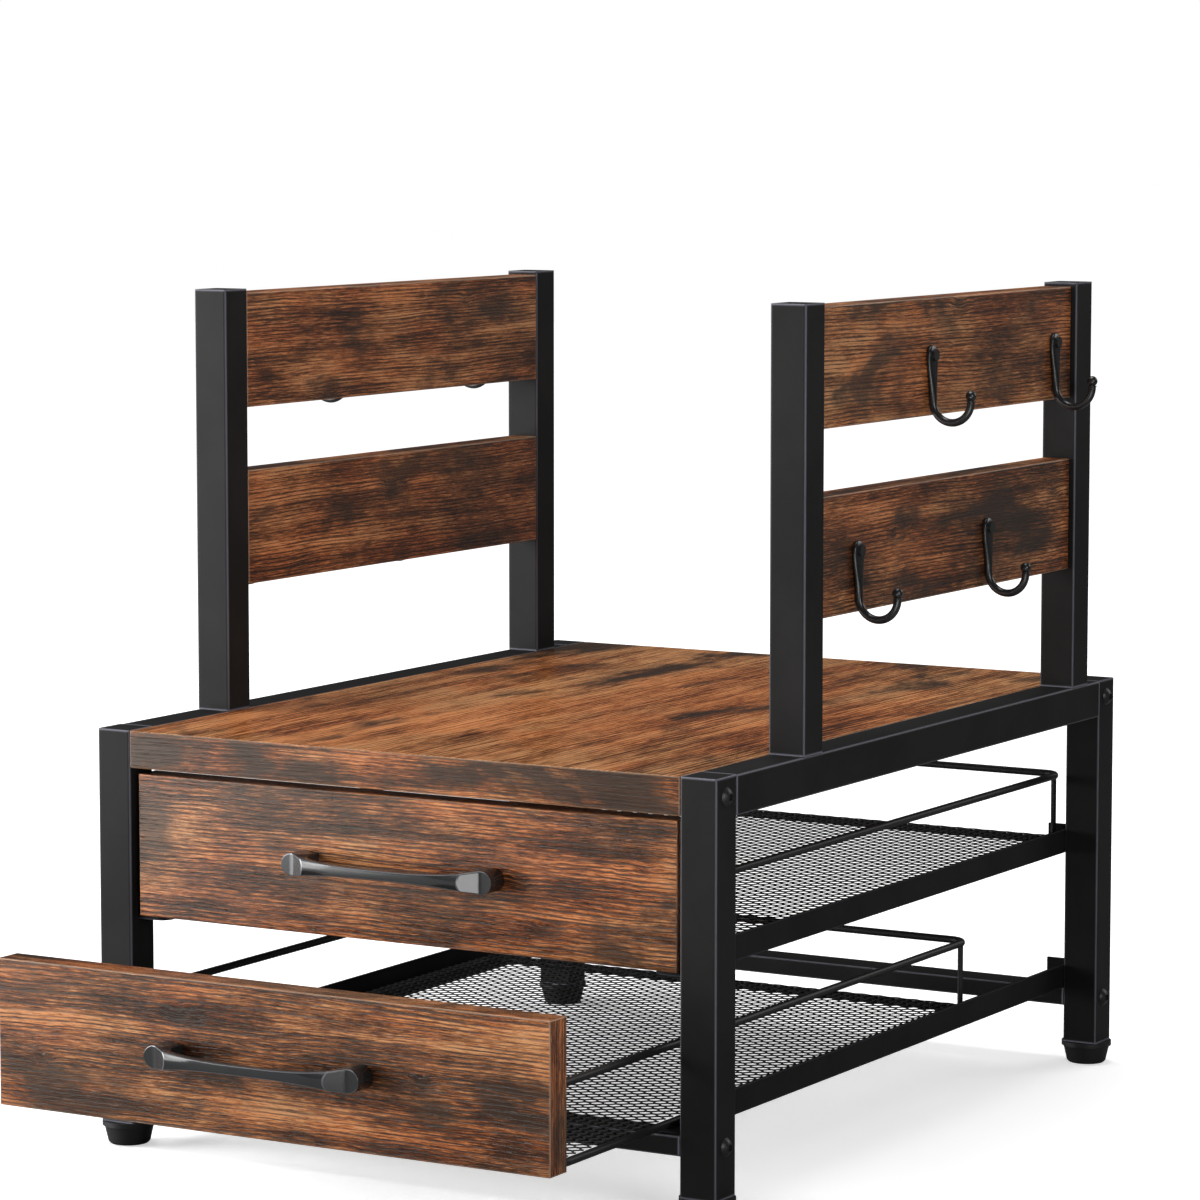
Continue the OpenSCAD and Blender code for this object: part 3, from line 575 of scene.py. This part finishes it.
def paintSmallParts():
    look = {}
    for name, (color, gloss, sheen, wearAndHighlight) in plain.items():
        look[name] = steelFinish(name, {"color": color, "gloss": gloss, "sheen": sheen, "wearAndHighlight": wearAndHighlight})
    zinc = next(node for node in look["zincSteel"].node_tree.nodes if node.type == "BSDF_PRINCIPLED")
    zinc.inputs["Metallic"].default_value = 1.0
    for level in levels:
        for part in ("tray_ring", "tray_rail", "tray_stays", "tray_tabs"):
            dress(f"{level}_{part}", look["wireCoat"])
        for part in ("handle_screws", "tray_screws"):
            dress(f"{level}_{part}", look["zincSteel"])
    for node in ("cross_bar_bolts", "board_bolts", "upright_bolts", "hook_screws"):
        dress(node, look["boltBlack"])
    dress("slat_pins", look["zincSteel"])
    for row in rows:
        for side in sides:
            dress(f"foot_{row}_{side}", look["footPlastic"])
    return look


trayMesh = {
    "long": 10.2 * mm,  # long way of a diamond, across the tray
    "short": 7.0 * mm,  # short way, front to back
    "strand": 1.2 * mm,
    "thick": 0.38 * mm,
    "bond": 0.62,  # share of the wave that is slanted; the rest is the bond where two strands meet
    "twist": 0.15,  # rise of a strand across its width
}


def expandedMetal(name, low, high, settings):
    # strand j runs across the tray at y = j * short / 2, plus a flat-topped zigzag of height short / 4 that
    # changes sign from one strand to the next, so neighbours meet at bonds and part round the openings
    across = round((high.x - low.x) / settings["long"])
    along = round((high.y - low.y) / settings["short"])
    longWay = (high.x - low.x) / across
    shortWay = (high.y - low.y) / along
    flat = (1 - settings["bond"]) / 4
    corner = (np.arange(2 * across)[:, None] / 2 + np.array([-flat, flat])[None, :]).ravel()
    x = np.clip(np.concatenate([corner, [across - flat, across]]), 0, across) * longWay + low.x
    wave = np.concatenate([np.repeat(np.tile([1.0, -1.0], across), 2), [1.0, 1.0]])
    strands = np.arange(2 * along + 1)
    sign = np.where(strands % 2 == 0, 1.0, -1.0)
    middle = low.y + (strands[:, None] / 2 + sign[:, None] * wave[None, :] / 4) * shortWay
    half = settings["strand"] / 2
    middle = np.clip(middle, low.y + half, high.y - half)
    profile = np.array([[-half, -1.0], [half, -1.0], [half, 1.0], [-half, 1.0]])  # across, up or down
    y = middle[:, :, None] + profile[None, None, :, 0]
    z = (low.z + high.z) / 2 + profile[:, 1] * settings["thick"] / 2 + profile[:, 0] * settings["twist"]
    points = np.empty(y.shape + (3,))
    points[..., 0] = x[None, :, None]
    points[..., 1] = y
    points[..., 2] = z[None, None, :]
    count, rings = y.shape[:2]
    start = (np.arange(count)[:, None] * rings + np.arange(rings - 1)[None, :]) * 4
    ring = np.arange(4)
    after = (ring + 1) % 4
    walls = np.stack([
        start[..., None] + ring, start[..., None] + 4 + ring, start[..., None] + 4 + after, start[..., None] + after
    ], -1).reshape(-1, 4)
    first = np.arange(count) * rings * 4
    last = first + (rings - 1) * 4
    caps = np.vstack([first[:, None] + ring[None, :], last[:, None] + ring[None, ::-1]])
    return meshPiece(name, points.reshape(-1, 3), np.vstack([walls, caps]), smooth=False)


def weaveTrays(look):
    for level in levels:
        node = level + "_tray_floor"
        floor = expandedMetal(level + "TrayMesh", *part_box(node), trayMesh)
        floor.data.materials.append(look["meshCoat"])
        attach(floor, bodyOf[level])
        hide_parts(node)


bowHandle = {
    "grip": 5.0 * mm,  # thickness of the grip at its middle
    "waist": 4.7 * mm,  # height of the grip at its middle
    "flare": 3.0,  # power of the distance from the middle by which the grip grows taller
    "bow": 2.0 * mm,  # how far the grip's ends fall back from its middle
    "leg": 14.0 * mm,
    "fillet": 6.0 * mm,
    "crown": (0.08 * mm, 1.0 * mm),  # how far the grip's front falls back at its top and bottom: middle, ends
    "crownPower": 2.4,
    "swell": 0.60,  # share of the way to the hollow where the crown begins to grow
    "edge": 0.5 * mm,  # rounding along the top and bottom
    "edgeMost": 0.7,  # the rounding is never more than this share of half the height
    "hollow": (16.0 * mm, 6.0 * mm),  # width of the hollow in each end, and how far its outer rim lies back
    "knee": (0.60, 0.16),  # share of the hollow that slopes back before it levels out, and how softly it turns
    "rim": 0.3 * mm,  # softness of the rim round the hollow
    "waistEnd": 1.0 * mm,  # from the end of the waist to the rounded end
    "backEdge": 0.4 * mm,  # rounding of the grip's back
    "backPower": 8,  # of the distance from the middle by which that rounding grows
    "rings": (34, 84),  # along the grip, and from just before the hollow to the end
    "lead": 3.0 * mm,  # how far before the hollow the close rings begin
    "points": (31, 13),  # across the front and across the back of a ring
    "backSteps": (24, 12, 6, 26),  # of the back's path: along the grip, round the fillet, down and under the leg
}


def arcRadius(chord, rise):
    return (chord * chord / 4 + rise * rise) / (2 * rise)


def castHandle(name, node, settings):
    # rings run from end to end; a ring's front points stand out by the lesser of the crowned bow and the hollow,
    # a straight slope that levels out past its knee; its back points stand out by the grip's back or, past the
    # fillet, by nothing; all mirrored about the middle
    low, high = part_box(node)
    end, reach, tall = (high.x - low.x) / 2, high.y - low.y, (high.z - low.z) / 2
    grip, bow, leg, fillet = (settings[key] for key in ("grip", "bow", "leg", "fillet"))
    wide, deep = settings["hollow"]
    swing = arcRadius(2 * end, bow)
    hold = end - tall - settings["waistEnd"]
    farBefore = -0.3  # in widths of the hollow: from here on the cut lies well clear of the grip
    thin = settings["waist"] / 2

    def halfHeight(x):
        waist = thin + (tall - thin) * (np.minimum(x, hold) / hold) ** settings["flare"]
        rounded = np.sqrt(np.clip(tall**2 - np.maximum(x - (end - tall), 0) ** 2, 1e-10, None))
        return np.minimum(waist, rounded)

    def bowDrop(x):
        return swing - np.sqrt(swing**2 - x**2)

    startOut = reach - bowDrop(end - wide)

    def frontOut(x, share):
        half = halfHeight(x)
        z = share * half
        toEnd = np.clip((x / (end - wide) - settings["swell"]) / (1 - settings["swell"]), 0, 1)
        toEnd = toEnd * toEnd * (3 - 2 * toEnd)
        crown = settings["crown"][0] + (settings["crown"][1] - settings["crown"][0]) * toEnd
        bowed = reach - bowDrop(x) - crown * np.abs(share) ** settings["crownPower"]
        t = np.clip((x - (end - wide)) / wide, farBefore, 1)
        knee, gentle = settings["knee"]
        flat = np.clip(0.5 + 0.5 * (t / knee - 1) / gentle, 0, 1)
        fall = t / knee * (1 - flat) + flat - gentle * flat * (1 - flat)
        cut = np.where(t <= farBefore, 2 * reach, startOut - deep * fall)
        soft = np.clip(0.5 + 0.5 * (cut - bowed) / settings["rim"], 0, 1)
        out = cut * (1 - soft) + bowed * soft - settings["rim"] * soft * (1 - soft)
        edge = np.minimum(settings["edge"], half * settings["edgeMost"])
        near = np.clip((np.abs(z) - (half - edge)) / edge, 0, 1)
        # the rounded top and bottom edges and the hollow's rim are marked for worn paint and a painted highlight
        rimWearAndHighlight = np.clip(4 * near * (1 - near) + 4 * soft * (1 - soft), 0, 1)
        return out - edge * (1 - np.sqrt(np.clip(1 - near**2, 0, 1))), rimWearAndHighlight

    # the back's path: under the grip, round the fillet, down the leg, and under the leg
    inner = end - leg
    gripSteps, turnSteps, legSteps, footSteps = settings["backSteps"]
    turn = np.linspace(0, np.pi / 2, turnSteps)[1:]
    gripX = np.linspace(0, inner - fillet, gripSteps)
    footX = np.linspace(inner, end, footSteps)[1:]
    kneeOut = reach - grip - bowDrop(inner - fillet) - fillet
    legOut = np.linspace(kneeOut, 0, legSteps)[1:]
    backX = np.concatenate([gripX, inner - fillet + fillet * np.sin(turn), np.full(len(legOut), inner), footX])
    backOut = np.concatenate([
        reach - grip - bowDrop(gripX), kneeOut + fillet * np.cos(turn), legOut, np.zeros(len(footX)),
    ])
    run = np.concatenate([[0], np.cumsum(np.hypot(np.diff(backX), np.diff(backOut)))])
    close = end - wide - settings["lead"]
    gripRings, endRings = settings["rings"]
    frontX = np.concatenate([np.linspace(0, close, gripRings), np.linspace(close, end, endRings)[1:]])
    share = np.interp(frontX, [0, inner - fillet, end], [0, run[len(gripX) - 1], run[-1]])
    backX, backOut = np.interp(share, run, backX), np.interp(share, run, backOut)
    frontPoints, backPoints = settings["points"]
    frontShare = np.sin(np.linspace(-1, 1, frontPoints) * np.pi / 2)
    backShare = np.sin(np.linspace(1, -1, backPoints) * np.pi / 2)
    x = np.concatenate([
        np.repeat(frontX[:, None], len(frontShare), 1), np.repeat(backX[:, None], len(backShare), 1)
    ], 1)
    z = halfHeight(x) * np.concatenate([frontShare, backShare])[None, :]
    outward = np.abs(backShare)[None, :] ** settings["backPower"]
    backEdge = np.minimum(settings["backEdge"], backOut[:, None] / 2) * outward
    front, rimWearAndHighlight = frontOut(frontX[:, None], frontShare[None, :])
    out = np.concatenate([front, backOut[:, None] + backEdge], 1)
    wearAndHighlight = np.concatenate([rimWearAndHighlight, np.zeros(backEdge.shape)], 1)
    ringPoints = np.stack([x, high.y - out, z + (low.z + high.z) / 2], -1)
    other = ringPoints[:0:-1] * np.array([-1, 1, 1])
    points = np.concatenate([other, ringPoints]) + np.array([(low.x + high.x) / 2, 0, 0])
    return closeTube(name, points, np.concatenate([wearAndHighlight[:0:-1], wearAndHighlight]))


def closeTube(name, rings, wearAndHighlight=None):
    # quads join each ring to the next, and a fan of triangles closes each end at the ring's own middle
    count, size = rings.shape[:2]
    one = np.arange(size)
    two = (one + 1) % size
    start = np.arange(count - 1)[:, None] * size
    walls = np.stack([start + one, start + two, start + size + two, start + size + one], -1).reshape(-1, 4)
    tail = (count - 1) * size
    fans = np.vstack([
        np.stack([two, one, np.full(size, count * size)], 1),
        np.stack([tail + one, tail + two, np.full(size, count * size + 1)], 1),
    ])
    points = np.vstack([rings.reshape(-1, 3), rings[0].mean(0), rings[-1].mean(0)])
    mesh = bpy.data.meshes.new(name)
    mesh.from_pydata(points.tolist(), [], walls.tolist() + fans.tolist())
    # each point's share of the worn paint and painted highlight, kept as a mesh attribute
    if wearAndHighlight is not None:
        values = np.append(wearAndHighlight.ravel(), [0, 0])
        mesh.attributes.new("wearAndHighlight", "FLOAT", "POINT").data.foreach_set("value", values.astype(np.float32))
    faceOut(mesh)
    piece = bpy.data.objects.new(name, mesh)
    scene.collection.objects.link(piece)
    return piece


doubles = 0.004 * mm  # points nearer than this are one


def faceOut(mesh):
    # doubles are merged first, then every face is turned to point outwards
    shell = bmesh.new()
    shell.from_mesh(mesh)
    bmesh.ops.remove_doubles(shell, verts=shell.verts, dist=doubles)
    bmesh.ops.recalc_face_normals(shell, faces=shell.faces)
    shell.to_mesh(mesh)
    shell.free()
    mesh.polygons.foreach_set("use_smooth", np.ones(len(mesh.polygons), bool))
    mesh.update()


def castHandles(look):
    for level in levels:
        node = level + "_handle"
        handle = castHandle(level + "BowHandle", node, bowHandle)
        handle.data.materials.append(look["castIron"])
        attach(handle, bodyOf[level])
        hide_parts(node)


mugHook = {
    "rod": 4.0 * mm,
    "plate": 10.0 * mm,
    "plateThick": 3.0 * mm,
    "bend": 10.7 * mm,  # radius of the bend, to the rod's centre line
    "rise": 7.5 * mm,  # centre of the bend above the slat's bottom edge
    "ball": 5.6 * mm,
    "ballStart": 0.62,  # angle from the ball's pole where it leaves the rod
    "collar": 4.8 * mm,
    "collarAt": (0.25 * mm, 0.3 * mm, 0.7 * mm, 0.75 * mm),  # its foot, edges and top, above the bend
    "neck": 0.9 * mm,  # height of the ball's start above the bend
    "tipThin": 0.55,  # thickness of the plate's very tip, as a share of the plate's
    "tipNarrow": 0.02,  # width of the plate's very tip, in the same way
    "pole": 0.01 * mm,  # radius of the ball's last ring
    "square": (3.2, 2.0),  # powers of the superellipse at the plate and at the rod
    "points": 24,  # round a ring
    "tipRings": (10, 7),  # rings in the plate's rounded tip, and how many such tips reach down to the bend
    "plateRings": (22, 1.2),  # rings below the tip, and how many tips down they begin
    "bendRings": 28,
    "ballRings": 14,
}


def sweptHook(name, node, slat, side, settings):
    # a ring of half width a and half thickness b is carried down the plate, round half a turn of radius bend
    # and up into the ball; every ring is a superellipse, |u| to the p plus |v| to the p equal to 1
    low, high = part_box(node)
    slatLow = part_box(slat)[0]
    face = (slatLow.x if side < 0 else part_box(slat)[1].x) * side
    middleY = (low.y + high.y) / 2
    rod, radius = settings["rod"] / 2, settings["bend"]
    bendZ = slatLow.z + settings["rise"]
    straight = high.z - bendZ
    tipRings, part = settings["tipRings"]
    plateRings, begin = settings["plateRings"]
    inTips = [1 - np.cos(np.linspace(0, np.pi / 2, tipRings)), np.linspace(begin, part, plateRings)]
    down = np.concatenate(inTips) / part * straight
    half = settings["plate"] / 2
    tip = np.sqrt(np.clip(1 - (1 - np.clip(down / half, 0, 1)) ** 2, 0, 1))
    narrow = np.clip((down - half) / (straight - half), 0, 1)
    narrow = narrow * narrow * (3 - 2 * narrow)
    wide = (half + (rod - half) * narrow) * np.maximum(tip, settings["tipNarrow"])
    thick = settings["plateThick"] / 2 + (rod - settings["plateThick"] / 2) * narrow
    thick = thick * (settings["tipThin"] + (1 - settings["tipThin"]) * tip)
    turn = np.linspace(0, np.pi, settings["bendRings"])[1:]
    ballRadius, collarRadius = settings["ball"] / 2, settings["collar"] / 2
    arc = np.linspace(settings["ballStart"], np.pi, settings["ballRings"])
    up = np.concatenate([settings["collarAt"], settings["neck"] + ballRadius * (np.cos(arc[0]) - np.cos(arc))])
    ring = np.concatenate([[rod, collarRadius, collarRadius, rod], ballRadius * np.sin(arc)])
    ring[-1] = settings["pole"]
    bendX = face + rod + radius
    x = np.concatenate([face + thick, bendX - radius * np.cos(turn), np.full(len(up), bendX + radius)])
    z = np.concatenate([high.z - down, bendZ - radius * np.sin(turn), bendZ + up])
    a = np.concatenate([wide, np.full(len(turn), rod), ring])
    b = np.concatenate([thick, np.full(len(turn), rod), ring])
    plateSquare, rodSquare = settings["square"]
    square = plateSquare + (rodSquare - plateSquare) * narrow
    power = 2 / np.concatenate([square, np.full(len(turn) + len(up), rodSquare)])
    along = np.stack([np.gradient(x), np.gradient(z)], 1)
    along /= np.linalg.norm(along, axis=1)[:, None]
    along[: len(down)] = (0, -1)
    along[len(down) + len(turn):] = (0, 1)
    angle = np.linspace(0, 2 * np.pi, settings["points"], endpoint=False)
    u = np.sign(np.cos(angle)) * np.abs(np.cos(angle)) ** power[:, None]
    v = np.sign(np.sin(angle)) * np.abs(np.sin(angle)) ** power[:, None]
    points = np.empty((len(x), len(angle), 3))
    points[..., 0] = side * (x[:, None] - along[:, 1:2] * v * b[:, None])
    points[..., 1] = middleY + u * a[:, None]
    points[..., 2] = z[:, None] + along[:, 0:1] * v * b[:, None]
    return closeTube(name, points)


def hangHooks(look):
    for level in levels:
        for sideName, side in sides.items():
            for row in rows:
                node = f"hook_{level}_{sideName}_{row}"
                name = "mugHook." + "".join([level, sideName.title(), row.title()])
                hook = sweptHook(name, node, f"slat_{level}_{sideName}", side, mugHook)
                hook.data.materials.append(look["hookIron"])
                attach(hook, "frame")
                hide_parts(node)


placeCamera(viewpoint)
layFloor(studio["floor"])
lightStudio(studio)
print("studio ready")
paintWood(wood)
print("wood painted")
paintSteel()
smallLook = paintSmallParts()
print("steel painted")
weaveTrays(smallLook)
print("tray floors made")
castHandles(smallLook)
print("handles made")
hangHooks(smallLook)
print("hooks made")
